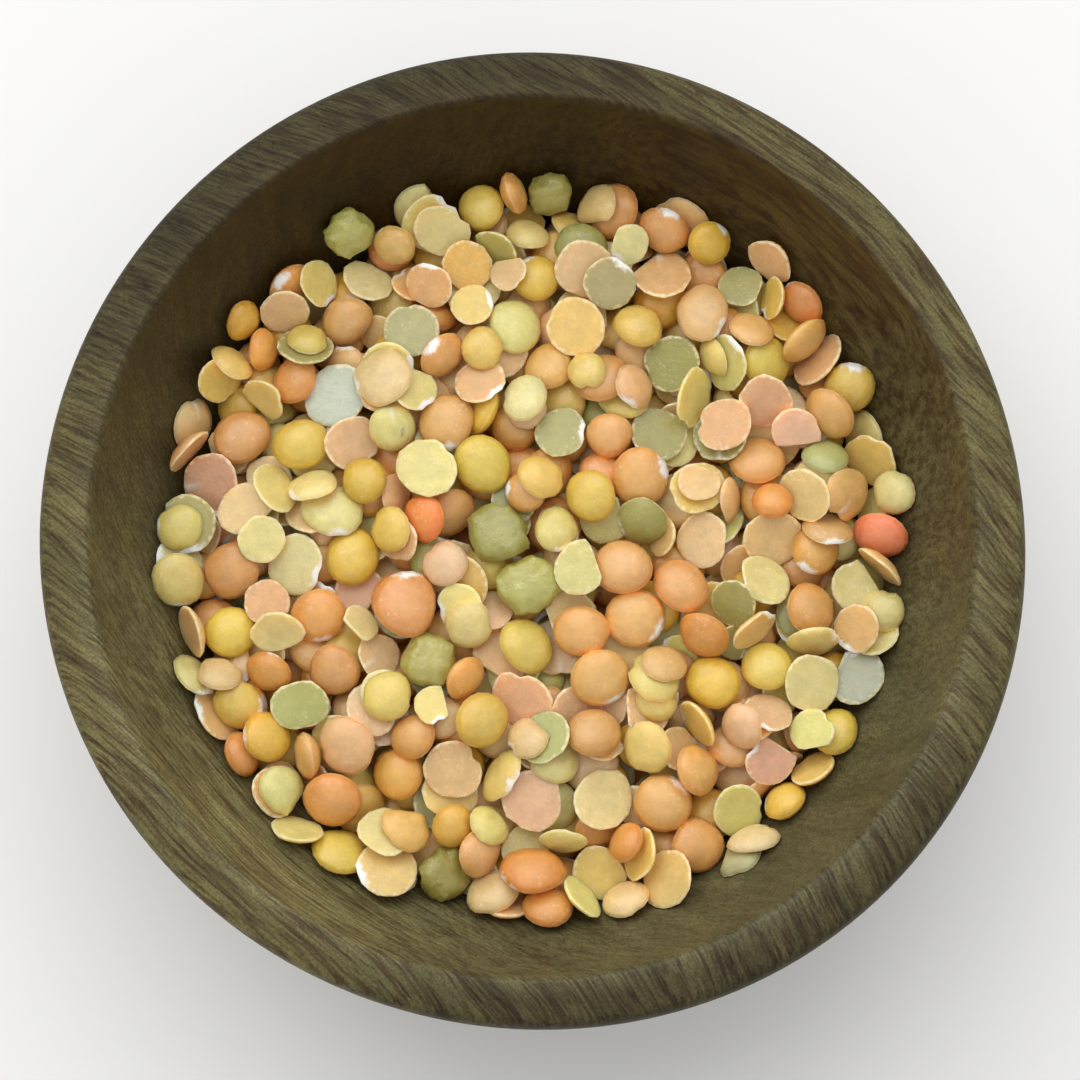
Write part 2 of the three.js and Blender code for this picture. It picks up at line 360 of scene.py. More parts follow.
# Weights of a face's four corners at points spread over the face.
ACROSS = np.linspace(0.05, 0.95, 8)
SPREAD = np.array([[(1 - u) * (1 - v), u * (1 - v), u * v, (1 - u) * v] for u in ACROSS for v in ACROSS])


def cells(x, y):
    """The grid's cells that hold the places x, y."""
    column = np.clip(((x + RIM_INNER_R) / CELL).astype(int), 0, CELLS - 1)
    row = np.clip(((y + RIM_INNER_R) / CELL).astype(int), 0, CELLS - 1)
    return row * CELLS + column


def floor_height(x, y):
    """Height of what a lentil can rest on at x, y."""
    return np.maximum(ground[cells(x, y)], hollow_height(np.hypot(x, y) + WALL_GAP))


def about(axis, angle):
    """Rotation matrices about X, Y or Z, given as 0, 1 or 2."""
    matrix = np.zeros((len(angle), 3, 3))
    i, j = ((1, 2), (2, 0), (0, 1))[axis]
    matrix[:, axis, axis] = 1
    matrix[:, i, i] = matrix[:, j, j] = np.cos(angle)
    matrix[:, i, j] = -np.sin(angle)
    matrix[:, j, i] = np.sin(angle)
    return matrix


def slope_lean(x, y, reach):
    """How a lentil at x, y would lean to lie along what is under it: a vector downhill, in radians."""
    ring = np.arange(8) * math.pi / 4
    around = floor_height(x[:, None] + reach * np.cos(ring), y[:, None] + reach * np.sin(ring))
    slope_x = (around * np.cos(ring)).sum(1) / (4 * reach)
    slope_y = (around * np.sin(ring)).sum(1) / (4 * reach)
    steep = np.hypot(slope_x, slope_y) + 1e-9  # more than nothing, as it divides
    lean = np.minimum(np.arctan(steep), MAX_LEAN)
    return np.stack([-slope_x / steep * lean, -slope_y / steep * lean], 1)


def let_down(points, x, y, lean):
    """The lentil's points where it rests, for each x, y and lean, and how much covers one kept in view."""
    heading = np.arctan2(lean[:, 1], lean[:, 0])
    matrix = about(2, heading) @ about(1, np.hypot(lean[:, 0], lean[:, 1])) @ about(2, -heading)
    placed = points @ np.swapaxes(matrix, 1, 2)
    placed[..., 0] += x[:, None]
    placed[..., 1] += y[:, None]
    rise = (floor_height(placed[..., 0], placed[..., 1]) - placed[..., 2]).max(axis=1)
    placed[..., 2] += rise[:, None]
    cover = in_view[cells(placed[..., 0], placed[..., 1])].mean(axis=1)
    return placed, cover


def high_cost(placed):
    """What it costs that a lentil reaches into the free space above the heap."""
    return HIGH_COST * np.maximum(placed[..., 2].max(axis=1) - FREE_FROM, 0)


def settle(points, x, y, loose, held):
    """Starts at the best of the given places, then shifts and leans the lentil until it lies as low as it
    can. A held lean stays as it is."""
    lean = slope_lean(x, y, SLOPE_REACH * LENTIL_R) if held is None else np.tile(held, (len(x), 1))
    placed, cover = let_down(points, x, y, lean)
    cost = placed[..., 2].mean(axis=1) - heap_height(np.hypot(x, y)) + COVER_COST * cover
    cost += high_cost(placed)
    best = int(cost.argmin())
    spot = np.array([x[best], y[best], *lean[best]])
    for shift, tip in NUDGES:
        tip = tip if held is None else 0
        moves = rng.normal(0, 1, (TRIES, 4)) * [shift * loose, shift * loose, tip, tip]
        moves[0] = 0
        spots = spot + moves
        placed, cover = let_down(points, spots[:, 0], spots[:, 1], spots[:, 2:])
        cost = placed[..., 2].mean(axis=1) + LEAN_COST * (spots[:, 2:] ** 2).sum(1) + COVER_COST * cover
        cost += high_cost(placed)
        best = int(cost.argmin())
        spot = spots[best]
    return placed[best], cover[best]


def cover_ground(placed, faces):
    """Adds a laid lentil to the heights, from points spread over its faces."""
    corners = np.array([face if len(face) == 4 else (*face, face[2]) for face in faces])
    dense = np.einsum("sk,fkc->fsc", SPREAD, placed[corners]).reshape(-1, 3)
    np.maximum.at(ground, cells(dense[:, 0], dense[:, 1]), dense[:, 2])


# ---- Kinds of lentil -------------------------------------------------------------------------------

# Name of the piece: (form, slot, share of the heap, deepest colour, fairest colour).
KINDS = {
    "whole_orange": ("whole", "lentil_orange", 0.25, "#e49b4a", "#e7b870"),
    "whole_yellow": ("whole", "lentil_yellow", 0.1, "#e5b23d", "#e5c961"),
    "split_orange": ("split", "lentil_orange", 0.31, "#e2ad6e", "#e5c488"),
    "split_yellow": ("split", "lentil_yellow", 0.15, "#e4b858", "#e5cd74"),
    "split_pale": ("split", "lentil_pale", 0.13, "#dfcf79", "#e2d58e"),
    "split_green": ("split", "lentil_green", 0.06, "#9c964a", "#bbb773"),
    "wrinkled_green": ("wrinkled", "lentil_green", 0.0, "#9d944a", "#c0b971"),
}
SHARES = np.array([kind[2] for kind in KINDS.values()])
laid = {name: [] for name in KINDS}


def lay(name, x, y, limit, tone=None, size=None, turn=None, mark=None, loose=1.0, face_up=None, held=None):
    """Lays one lentil at the best of the places x, y. Returns nothing if its middle would be over the limit
    above the heap's surface, or if it would hide another or reach into the free space."""
    form, _, _, deep, fair = KINDS[name]
    radius = LENTIL_R * (size or float(np.clip(rng.normal(1, SIZE_SPREAD), *SIZE_RANGE)))
    thickness = LENTIL_HALF * rng.uniform(*THICKNESS_RANGE)
    points = vary(form, radius, thickness * (WRINKLED_THICKNESS if form == "wrinkled" else 1))
    if face_up is None:
        face_up = rng.random() < FACE_UP_SHARE
    if not face_up:
        points = points * [1, -1, -1]
    heading = math.radians(turn) if turn is not None else rng.uniform(0, 2 * math.pi)
    points = points @ about(2, np.array([heading]))[0].T
    points[:, 2] -= points[:, 2].mean()
    placed, cover = settle(points, np.atleast_1d(x), np.atleast_1d(y), loose, held)
    middle = placed.mean(axis=0)
    if middle[2] > heap_height(math.hypot(middle[0], middle[1])) + limit or cover > MOST_COVER:
        return None
    if placed[:, 2].max() > FREE_FROM:
        return None
    cover_ground(placed, FORMS[form][1])
    if tone is None:
        tone = rng.random()
    deep, fair = (np.array(linear(colour)) for colour in (deep, fair))
    tint = np.array(linear(tone)) if isinstance(tone, str) else deep + (fair - deep) * tone
    tint *= rng.normal(1, TONE_SPREAD) * rng.normal(1, HUE_SPREAD)
    laid[name].append((placed, tint, rng.random() if mark is None else mark))
    return placed


def fill(limit, misses, places, inner=0.0):
    """Lays lentils of all kinds, each at the best of some places, until so many in a row find no room. They
    keep out of the middle, as far as the inner share of the radius."""
    missed = 0
    while missed < misses:
        name = rng.choice(list(KINDS), p=SHARES / SHARES.sum())
        reach = (HEAP_EDGE_R - EDGE_GAP * LENTIL_R) * np.sqrt(rng.uniform(inner**2, 1, places))
        angle = rng.uniform(0, 2 * math.pi, places)
        placed = lay(name, reach * np.cos(angle), reach * np.sin(angle), limit)
        missed = 0 if placed is not None else missed + 1


# ---- Lentils that stand out ------------------------------------------------------------------------

ANY_HEIGHT = 9  # they may stand this far above the heap's surface
SHOWN_LOOSE = 0.25  # how much of the usual shifts they make
KEPT_SHARE = 0.33  # how much of their width stays in view, each way from the middle

# What a lentil shows at its eye goes by its mark, a number from 0 to 1: a chalky patch below the first
# limit, a pale groove or spot above the second, and nothing in between. The marks below are one of each.
CHALKY_BELOW, GROOVED_ABOVE = 0.42, 0.92
CHALKY, PLAIN, GROOVED = 0.1, 0.6, 0.95

SALMON = "#e3b089"  # a few splits are pinker than the rest

# (piece, tone, x, y, share of the usual radius, degrees turned, eye). A tone is a share of the way from the
# deepest colour to the fairest, or a colour.
SHOWN = [
    ("wrinkled_green", 0.3, -3.2, 0.6, 1.1, 20, PLAIN),
    ("wrinkled_green", 0.7, -0.4, -3.3, 1.12, 35, PLAIN),
    ("wrinkled_green", 0.5, -8.4, -9.5, 1.02, -15, PLAIN),
    ("wrinkled_green", 0.1, -7.3, -27.5, 1.0, 30, PLAIN),
    ("wrinkled_green", 0.4, 1.4, 30.0, 0.85, 10, PLAIN),
    ("split_green", "#ccd2b4", -16.3, 12.4, 1.25, 160, CHALKY),
    ("split_green", 0.6, -10.2, 17.8, 1.08, 100, PLAIN),
    ("split_green", 0.5, 2.3, 9.3, 1.0, 0, CHALKY),
    ("split_green", 0.1, 10.5, 8.9, 1.1, 250, PLAIN),
    ("split_green", 0.0, 11.5, 15.1, 1.1, 200, PLAIN),
    ("split_green", 0.7, 17.3, 22.0, 0.9, 60, PLAIN),
    ("split_green", "#acaf86", 26.7, -10.9, 1.1, 95, CHALKY),
    ("whole_orange", "#f79c6c", 29.0, 0.9, 1.05, 120, PLAIN),
    ("whole_orange", "#f1914e", -8.7, 2.2, 0.92, 70, PLAIN),
    ("whole_orange", 0.4, -16.2, -21.4, 1.1, 200, PLAIN),
    ("whole_orange", 0.4, -17.6, -6.2, 1.08, 280, CHALKY),
    ("whole_orange", 0.5, -16.6, -10.6, 1.0, 20, PLAIN),
    ("whole_orange", 0.5, -10.8, -19.1, 1.0, 110, PLAIN),
    ("whole_orange", 0.7, 1.3, 14.9, 1.0, 30, PLAIN),
    ("whole_orange", 0.6, -7.1, 9.9, 1.12, 270, CHALKY),
    ("whole_orange", 0.5, -7.7, 15.6, 0.95, 140, CHALKY),
    ("whole_orange", 0.7, -15.3, 19.2, 1.0, 80, PLAIN),
    ("whole_orange", 0.6, -24.4, 9.2, 1.08, 200, PLAIN),
    ("whole_orange", 0.6, -25.1, -2.0, 1.1, 150, PLAIN),
    ("whole_orange", 0.6, 8.2, -6.3, 1.15, 330, CHALKY),
    ("whole_orange", 0.8, 4.1, -7.4, 1.05, 250, PLAIN),
    ("whole_orange", 0.6, 7.4, -2.5, 1.1, 190, PLAIN),
    ("whole_orange", 0.5, 13.7, -25.1, 1.08, 10, PLAIN),
    ("whole_orange", 0.7, -10.5, -5.2, 1.28, 90, CHALKY),
    ("whole_orange", 0.9, 5.8, -11.3, 1.14, 300, CHALKY),
    ("whole_orange", 0.8, 8.9, 5.6, 1.15, 20, CHALKY),
    ("whole_orange", 0.8, 10.5, -21.7, 1.12, 45, CHALKY),
    ("whole_yellow", 0.7, 4.7, 3.9, 1.02, 210, PLAIN),
    ("whole_yellow", 0.6, -15.0, -1.2, 1.08, 300, PLAIN),
    ("whole_yellow", 1.0, -0.4, -8.2, 1.12, 0, PLAIN),
    ("whole_yellow", 1.0, 19.2, -10.3, 1.0, 40, PLAIN),
    ("whole_yellow", 0.5, -6.5, -23.3, 0.84, 90, PLAIN),
    ("whole_yellow", 0.7, -4.3, 6.8, 1.12, 160, PLAIN),
    ("whole_yellow", 0.9, -24.8, -7.0, 1.0, 0, PLAIN),
    ("whole_yellow", 1.0, 19.1, 15.5, 1.1, 120, CHALKY),
    ("whole_yellow", 0.8, -19.2, 8.4, 1.05, 90, PLAIN),
    ("whole_yellow", 0.7, -16.2, -25.7, 1.15, 210, PLAIN),
    ("split_yellow", 0.6, 3.4, 17.8, 1.15, 160, PLAIN),
    ("split_yellow", 0.4, 28.2, 7.5, 1.1, 70, PLAIN),
    ("split_orange", SALMON, -26.9, 5.1, 1.15, 190, GROOVED),
    ("split_orange", SALMON, -0.7, -12.6, 1.18, 90, PLAIN),
    ("split_orange", SALMON, 19.6, -17.9, 0.98, 150, CHALKY),
    ("split_orange", SALMON, 0.0, -21.0, 1.18, 230, PLAIN),
    ("split_orange", 0.6, 10.9, 22.8, 1.25, 95, GROOVED),
    ("split_orange", SALMON, 19.5, 12.4, 1.1, 200, CHALKY),
    ("split_orange", 0.6, -15.2, 8.4, 1.08, 320, PLAIN),
    ("split_orange", 0.7, -28.4, -7.4, 1.05, 180, PLAIN),
    ("split_orange", 0.4, -6.7, -18.6, 1.12, 30, PLAIN),
    ("split_orange", 0.8, 19.8, 0.6, 1.15, 80, PLAIN),
    ("split_orange", 0.7, 14.4, 0.3, 1.05, 0, PLAIN),
    ("split_pale", 0.5, -13.7, 22.2, 1.0, 100, PLAIN),
    ("split_pale", 0.2, -8.8, 6.2, 1.2, 40, PLAIN),
    ("split_pale", 0.0, 12.9, 12.2, 1.18, 250, PLAIN),
    ("split_pale", 0.6, 19.1, -3.2, 1.05, 190, PLAIN),
    ("split_pale", 0.9, -19.8, -1.5, 1.15, 340, CHALKY),
    ("split_pale", 0.5, 5.9, -21.0, 1.2, 80, PLAIN),
    ("split_pale", 0.3, 17.0, -21.7, 1.05, 0, PLAIN),
    ("split_pale", 0.4, 23.0, -11.6, 1.1, 300, PLAIN),
    ("split_pale", 0.3, 26.9, -3.7, 1.05, 110, PLAIN),
    ("split_pale", 0.5, -19.3, -23.7, 1.0, 60, PLAIN),
    ("split_yellow", 0.7, 5.5, -27.0, 1.05, 30, PLAIN),
    ("split_orange", 0.6, 11.4, -27.8, 1.15, 140, PLAIN),
    ("whole_yellow", 0.3, 15.0, -11.6, 1.05, 10, PLAIN),
    ("wrinkled_green", 0.9, -15.5, 26.6, 0.95, 45, PLAIN),
    ("whole_yellow", 0.0, -24.4, 19.1, 0.8, 30, PLAIN),
]

# Lentils that stand on edge, or lean on others or on the wall, with their lean and heading in degrees:
# (piece, tone, x, y, share of the usual radius, lean, heading).
LEANING = [
    ("whole_orange", 0.3, -20.4, 22.1, 0.95, 58, 313),
    ("split_orange", 0.2, 19.6, 23.6, 1.0, 62, 230),
    ("split_orange", 0.1, -2.4, -30.0, 0.95, 55, 85),
    ("whole_orange", 0.4, 1.1, -30.1, 1.0, 40, 90),
    ("whole_orange", 0.1, 14.2, -7.8, 1.0, 42, 244),
    ("split_yellow", 0.3, -25.9, 13.8, 1.0, 50, 330),
    ("split_yellow", 0.3, 13.6, -14.6, 1.0, 70, 215),
]


def lay_heap():
    """The lower lentils, the ones that stand out, and the rest round them."""
    fill(limit=-2.4, misses=30, places=20)
    for name, tone, x, y, size, turn, mark in SHOWN:
        placed = lay(name, x, y, ANY_HEIGHT, tone, size, turn, mark, loose=SHOWN_LOOSE, face_up=True)
        if placed is None:
            continue
        low, high = placed.min(axis=0), placed.max(axis=0)
        middle = (low + high) / 2
        near = np.hypot(centres[None, :] - middle[0], centres[:, None] - middle[1])
        in_view[near.ravel() < KEPT_SHARE * (high - low)[:2].min()] = True
    for name, tone, x, y, size, lean, heading in LEANING:
        heading = math.radians(heading)
        held = math.radians(lean) * np.array([math.cos(heading), math.sin(heading)])
        lay(name, x, y, ANY_HEIGHT, tone, size, loose=SHOWN_LOOSE, face_up=True, held=held)
    fill(limit=0.3, misses=30, places=4, inner=0.93)
    fill(limit=-0.6, misses=60, places=16)
    fill(limit=-0.1, misses=60, places=8)
    fill(limit=0.4, misses=8, places=4)


def joined(name):
    """All lentils of one kind as one mesh, with their colours and the place of each point on its lentil."""
    seeds = laid[name]
    unit, faces = FORMS[KINDS[name][0]]
    count = len(unit)
    mesh = bpy.data.meshes.new(name + "_lentils")
    points = np.concatenate([seed[0] for seed in seeds]) * MM
    corners = [[k + i * count for k in face] for i in range(len(seeds)) for face in faces]
    mesh.from_pydata(points.tolist(), [], corners)
    tint = np.concatenate([np.tile([*seed[1], 1.0], (count, 1)) for seed in seeds])
    mesh.attributes.new("tint", "FLOAT_COLOR", "POINT").data.foreach_set("color", tint.ravel())
    seat = np.tile(unit, (len(seeds), 1))
    mesh.attributes.new("seat", "FLOAT_VECTOR", "POINT").data.foreach_set("vector", seat.ravel())
    mark = np.repeat([seed[2] for seed in seeds], count)
    mesh.attributes.new("mark", "FLOAT", "POINT").data.foreach_set("value", mark)
    mesh.shade_smooth()
    piece = bpy.data.objects.new(name + "_lentils", mesh)
    bpy.context.scene.collection.objects.link(piece)
    return piece


def make_core():
    """The hidden middle of the heap, which carries the loose lentils."""
    wall_gap, bottom_gap = CORE_GAPS
    depths = np.linspace(INNER_DEPTH - bottom_gap, HEAP_EDGE_DEPTH + CORE_COVER, 8)
    wall = [(float(hollow_radius(depth)) - wall_gap, HEIGHT - depth) for depth in depths]
    top_r = wall[-1][0]
    dome = []
    for share in (0.9, 0.7, 0.5, 0.3, 0.12):
        dome.append((top_r * share, float(heap_height(top_r * share)) - CORE_COVER))
    core = turned("heap_core", wall + dome, CORE_SIDES)
    core.data.shade_smooth()
    return core


# ---- Materials -------------------------------------------------------------------------------------

# The wood and the lentils have their patterns laid out in millimetres, so a noise has a scale of one over
# its size.

# Directions in the wood: along its fibres, across its growth layers, and across the dark heart of the
# blank, which runs through the middle of the bowl.
FIBRE = Vector((0.731, -0.682, 0.0))
LAYER = Vector((0.57, 0.63, -0.53)).normalized()
HEART = Vector((0.906, 0.423, 0.0))
FIBRE_CURVE = 0.003  # how fast the fibres turn along the bowl, per millimetre
FIBRE_SWAY = 4.0  # how far they wander
SWAY_SIZE = 16.67

# Patterns in the grain: streaks, then pores, then bands of growth. Each has its size across the layers,
# along the fibres and across both, and the detail and roughness of its noise.
GRAIN = [
    ((0.27, 6, 1.0), 2.0, 0.6),
    ((0.2, 1.9, 0.3), 1.0, 0.55),
    ((1.8, 30, 6), 2.0, 0.55),
]
SPECKLE_SIZE = 0.2222
BLOTCH_SIZE = 7.143
GRAIN_RELIEF = 0.04

STAIN_DARK, STAIN_LIGHT = "#534328", "#776f45"  # in a streak and between the streaks
# Painted light and shade for the hollow: the near wall, lit by the key, is lifted towards a neutral sheen;
# the far wall is darkened and warmed as shade with orange bounce light.
PAINTED_SHEEN_NEAR_WALL, PAINTED_SHADE_FAR_WALL = (1.02, 1.1, 1.25, 1), (0.42, 0.29, 0.12, 1)  # tints of its near and far walls


def stained_wood(tree):
    """Open-pored hardwood, turned, stained and oiled: fine dark pores and streaks run along the grain,
    growth layers cut the surface in broad bands, the heart is darker, and inside it is smoother. The far
    side is painted darker as shade, and in the hollow the near wall gets a painted sheen and the far wall
    painted warm shade."""
    place = add(tree, "TexCoord", out="Object")
    place = add(tree, "VectorMath", {0: place, "Scale": 1 / MM}, operation="SCALE")
    along = add(tree, "VectorMath", {0: place, 1: FIBRE}, out="Value", operation="DOT_PRODUCT")
    across = add(tree, "VectorMath", {0: place, 1: LAYER}, out="Value", operation="DOT_PRODUCT")
    third = add(tree, "VectorMath", {0: place, 1: FIBRE.cross(LAYER)}, out="Value", operation="DOT_PRODUCT")
    curve = add(tree, "Math", {0: along, 1: along}, operation="MULTIPLY")
    across = add(tree, "Math", {0: curve, 1: FIBRE_CURVE, 2: across}, operation="MULTIPLY_ADD")
    sway = add(tree, "TexNoise", {"Vector": place, "Scale": 1 / SWAY_SIZE, "Detail": 1.0, "Roughness": 0.4})
    across = add(tree, "Math", {0: sway, 1: FIBRE_SWAY, 2: across}, operation="MULTIPLY_ADD")
    grain = add(tree, "CombineXYZ", {0: across, 1: along, 2: third})

    patterns = []
    for sizes, detail, roughness in GRAIN:
        at = add(tree, "VectorMath", {0: grain, 1: sizes}, operation="DIVIDE")
        noise_inputs = {"Vector": at, "Scale": 1.0, "Detail": detail, "Roughness": roughness}
        patterns.append(add(tree, "TexNoise", noise_inputs))
    streak, pore, band = patterns
    noise_inputs = {"Vector": place, "Scale": 1 / SPECKLE_SIZE, "Detail": 2.0, "Roughness": 0.6}
    speckle = add(tree, "TexNoise", noise_inputs)
    noise_inputs = {"Vector": place, "Scale": 1 / BLOTCH_SIZE, "Detail": 3.0, "Roughness": 0.6}
    blotch = add(tree, "TexNoise", noise_inputs)

    # Where the surface cuts across the fibres it is darker, and its streaks stand out less.
    hollow = add(tree, "Attribute", out="Fac", attribute_name="hollow")
    facing = add(tree, "TexCoord", out="Normal")
    facing = add(tree, "VectorMath", {0: facing, 1: FIBRE}, out="Value", operation="DOT_PRODUCT")
    facing = add(tree, "Math", {0: facing}, operation="ABSOLUTE")
    dark_streak = add(tree, "MapRange", {0: facing, 1: 0.3, 2: 0.9, 3: 0.0, 4: 0.4})
    light_streak = add(tree, "MapRange", {0: facing, 1: 0.3, 2: 0.9, 3: 1.0, 4: 0.7})
    streak = add(tree, "MapRange", {0: streak, 1: 0.38, 2: 0.6, 3: dark_streak, 4: light_streak})
    stain = {0: streak, 6: (*linear(STAIN_DARK), 1), 7: (*linear(STAIN_LIGHT), 1)}
    tone = add(tree, "Mix", stain, out=2, data_type="RGBA")

    # In the hollow the pores are partly filled.
    pore = add(tree, "MapRange", {0: pore, 1: 0.3, 2: 0.42, 3: 0.0, 4: 1.0})
    filled = add(tree, "Math", {0: hollow, 1: 0.3}, operation="MULTIPLY")
    pore = add(tree, "Math", {0: pore, 1: filled}, operation="MAXIMUM")

    heart = add(tree, "VectorMath", {0: place, 1: HEART}, out="Value", operation="DOT_PRODUCT")
    heart = add(tree, "Math", {0: heart}, operation="ABSOLUTE")
    heart = add(tree, "MapRange", {0: heart, 1: 15, 2: 38, 3: 0.0, 4: 1.0}, interpolation_type="SMOOTHSTEP")
    heart_tone = add(tree, "MapRange", {0: hollow, 3: 0.42, 4: 0.85})
    outer_tone = add(tree, "MapRange", {0: hollow, 3: 0.95, 4: 1.25})
    # Painted shade: the tone darkens towards the far side of the bowl (+y), where the surfaces face away
    # from the light.
    far = add(tree, "SeparateXYZ", {0: place}, out=1)
    far = add(tree, "MapRange", {0: far, 1: -12, 2: 30, 3: 0.0, 4: 1.0})
    factors = [
        add(tree, "MapRange", {0: pore, 3: 0.55, 4: 1.0}),
        add(tree, "MapRange", {0: band, 1: 0.34, 2: 0.66, 3: 0.8, 4: 1.14}),
        add(tree, "MapRange", {0: speckle, 1: 0.32, 2: 0.68, 3: 0.72, 4: 1.28}),
        add(tree, "MapRange", {0: blotch, 1: 0.3, 2: 0.7, 3: 0.84, 4: 1.14}),
        add(tree, "MapRange", {0: heart, 3: heart_tone, 4: outer_tone}),
        # painted shade: darker towards the far side
        add(tree, "MapRange", {0: far, 3: 1.0, 4: 0.86}),
        add(tree, "MapRange", {0: facing, 1: 0.05, 2: 0.75, 3: 1.0, 4: 0.8}),
    ]
    for factor in factors:
        tone = add(tree, "VectorMath", {0: tone, "Scale": factor}, operation="SCALE")
    # Painted light and shade on the hollow's walls: a sheen on the near wall, warm shade on the far wall.
    painted_wall_shading = add(tree, "Mix", {0: far, 6: PAINTED_SHEEN_NEAR_WALL, 7: PAINTED_SHADE_FAR_WALL}, out=2, data_type="RGBA")
    painted_wall_shading = add(tree, "VectorMath", {0: tone, 1: painted_wall_shading}, operation="MULTIPLY")
    tone = add(tree, "Mix", {0: hollow, 6: tone, 7: painted_wall_shading}, out=2, data_type="RGBA")

    height = add(tree, "Math", {0: streak, 1: pore}, operation="ADD")
    bump = add(tree, "Bump", {"Strength": 0.3, "Distance": GRAIN_RELIEF * MM, "Height": height})
    rough = add(tree, "MapRange", {0: hollow, 3: 0.6, 4: 0.46})
    gloss = add(tree, "MapRange", {0: hollow, 3: 0.2, 4: 0.3})
    settings = {
        "Base Color": tone,
        "Roughness": rough,
        "IOR": 1.5,
        "Specular IOR Level": gloss,
        "Normal": bump,
    }
    return add(tree, "BsdfPrincipled", settings)


CHALK = "#f8f6ef"
PALE_EDGE = "#fbe8bc"  # the border of a split face, and the worn edge of a whole lentil

# How much dust lies on the lentils of each slot.
DUST = {"lentil_orange": 0.4, "lentil_yellow": 0.35, "lentil_pale": 0.5, "lentil_green": 0.35}

CLOUD_SIZE, RAGGED_SIZE, DUST_SIZE, DRIFT_SIZE = 1.25, 0.5556, 0.3333, 2.5
SKIN_SIZE, SKIN_RELIEF = 0.3125, 0.07
WRINKLE_SIZE, WRINKLE_RELIEF = 0.7692, 0.25


def dry_lentil(chalk, form):
    """A dehulled lentil: dense, waxy, a little see-through at its edge, where a dome's colour is painted
    darker and fuller as shade. Chalky dust sits in drifts and round the eye, where some have a white patch.
    A split face has a thin pale border, and some a pale groove."""

    def shader(tree):
        place = add(tree, "TexCoord", out="Object")
        place = add(tree, "VectorMath", {0: place, "Scale": 1 / MM}, operation="SCALE")
        tint = add(tree, "Attribute", attribute_name="tint")
        seat = add(tree, "Attribute", out="Vector", attribute_name="seat")
        mark = add(tree, "Attribute", out="Fac", attribute_name="mark")
        seat_x, seat_y, seat_z = add(tree, "SeparateXYZ", {0: seat}).node.outputs
        reach = add(tree, "VectorMath", {0: seat, 1: (1, 1, 0)}, operation="MULTIPLY")
        reach = add(tree, "VectorMath", {0: reach}, out="Value", operation="LENGTH")

        # Broad clouds in the colour. Towards the edge of a dome the colour is painted darker and fuller as
        # shade, and every lentil is a little lighter in its middle as painted light.
        noise_inputs = {"Vector": place, "Scale": 1 / CLOUD_SIZE, "Detail": 3.0, "Roughness": 0.7}
        cloud = add(tree, "TexNoise", noise_inputs)
        shade = add(tree, "MapRange", {0: cloud, 1: 0.3, 2: 0.7, 3: 0.87, 4: 1.07})
        tone = add(tree, "VectorMath", {0: tint, "Scale": shade}, operation="SCALE")
        limb_shade_gamma = 1.0 if form == "split" else 1.18
        full = add(tree, "MapRange", {0: reach, 1: 0.35, 2: 1.0, 3: 0.97, 4: limb_shade_gamma})
        tone = add(tree, "Gamma", {0: tone, 1: full})

        # The pale border of a split face, or the worn edge of a whole lentil.
        noise_inputs = {"Vector": place, "Scale": 1 / RAGGED_SIZE, "Detail": 2.0, "Roughness": 0.6}
        ragged = add(tree, "TexNoise", noise_inputs)
        if form == "split":
            border = add(tree, "Math", {0: ragged, 1: 0.4, 2: reach}, operation="MULTIPLY_ADD")
            border = add(tree, "MapRange", {0: border, 1: 1.08, 2: 1.2, 3: 0.0, 4: 0.75})
            level = add(tree, "MapRange", {0: seat_z, 1: -0.22, 2: -0.08, 3: 0.0, 4: 1.0})
            edge = add(tree, "Math", {0: border, 1: level}, operation="MULTIPLY")
        else:
            worn = 0.2 if form == "whole" else 0.0
            side = add(tree, "Math", {0: seat_z}, operation="ABSOLUTE")
            edge = add(tree, "MapRange", {0: side, 1: 0.0, 2: 0.16, 3: worn, 4: 0.0})
        tone = add(tree, "Mix", {0: edge, 6: tone, 7: (*linear(PALE_EDGE), 1)}, out=2, data_type="RGBA")

        # The patch at the eye, longer along the edge than across it.
        lift = 0.0 if form == "split" else 0.4
        patch = add(tree, "VectorMath", {0: seat, 1: (-0.95, 0, -lift)}, operation="ADD")
        patch = add(tree, "VectorMath", {0: patch, 1: (2.2, 0.9, 0.9)}, operation="MULTIPLY")
        patch = add(tree, "VectorMath", {0: patch}, out="Value", operation="LENGTH")
        patch = add(tree, "Math", {0: ragged, 1: 0.9, 2: patch}, operation="MULTIPLY_ADD")
        patch = add(tree, "MapRange", {0: patch, 1: 0.74, 2: 1.06, 3: 1.0, 4: 0.0})
        has_patch = add(tree, "Math", {0: mark, 1: CHALKY_BELOW}, operation="LESS_THAN")
        patch = add(tree, "Math", {0: patch, 1: has_patch}, operation="MULTIPLY")

        # The groove from the eye inwards, on a split face; a spot on a dome.
        if form == "split":
            groove = add(tree, "Math", {0: seat_y}, operation="ABSOLUTE")
            groove = add(tree, "Math", {0: ragged, 1: 0.2, 2: groove}, operation="MULTIPLY_ADD")
            groove = add(tree, "MapRange", {0: groove, 1: 0.08, 2: 0.26, 3: 0.6, 4: 0.0})
            inwards = add(tree, "MapRange", {0: seat_x, 1: 0.15, 2: 0.8, 3: 0.0, 4: 1.0})
            groove = add(tree, "Math", {0: groove, 1: inwards}, operation="MULTIPLY")
        else:
            spot = {0: seat, 1: (0.6, 0.1, 0.75)}
            groove = add(tree, "VectorMath", spot, out="Value", operation="DISTANCE")
            groove = add(tree, "Math", {0: ragged, 1: 0.2, 2: groove}, operation="MULTIPLY_ADD")
            groove = add(tree, "MapRange", {0: groove, 1: 0.2, 2: 0.4, 3: 0.8, 4: 0.0})
        has_groove = add(tree, "Math", {0: mark, 1: GROOVED_ABOVE}, operation="GREATER_THAN")
        groove = add(tree, "Math", {0: groove, 1: has_groove}, operation="MULTIPLY")

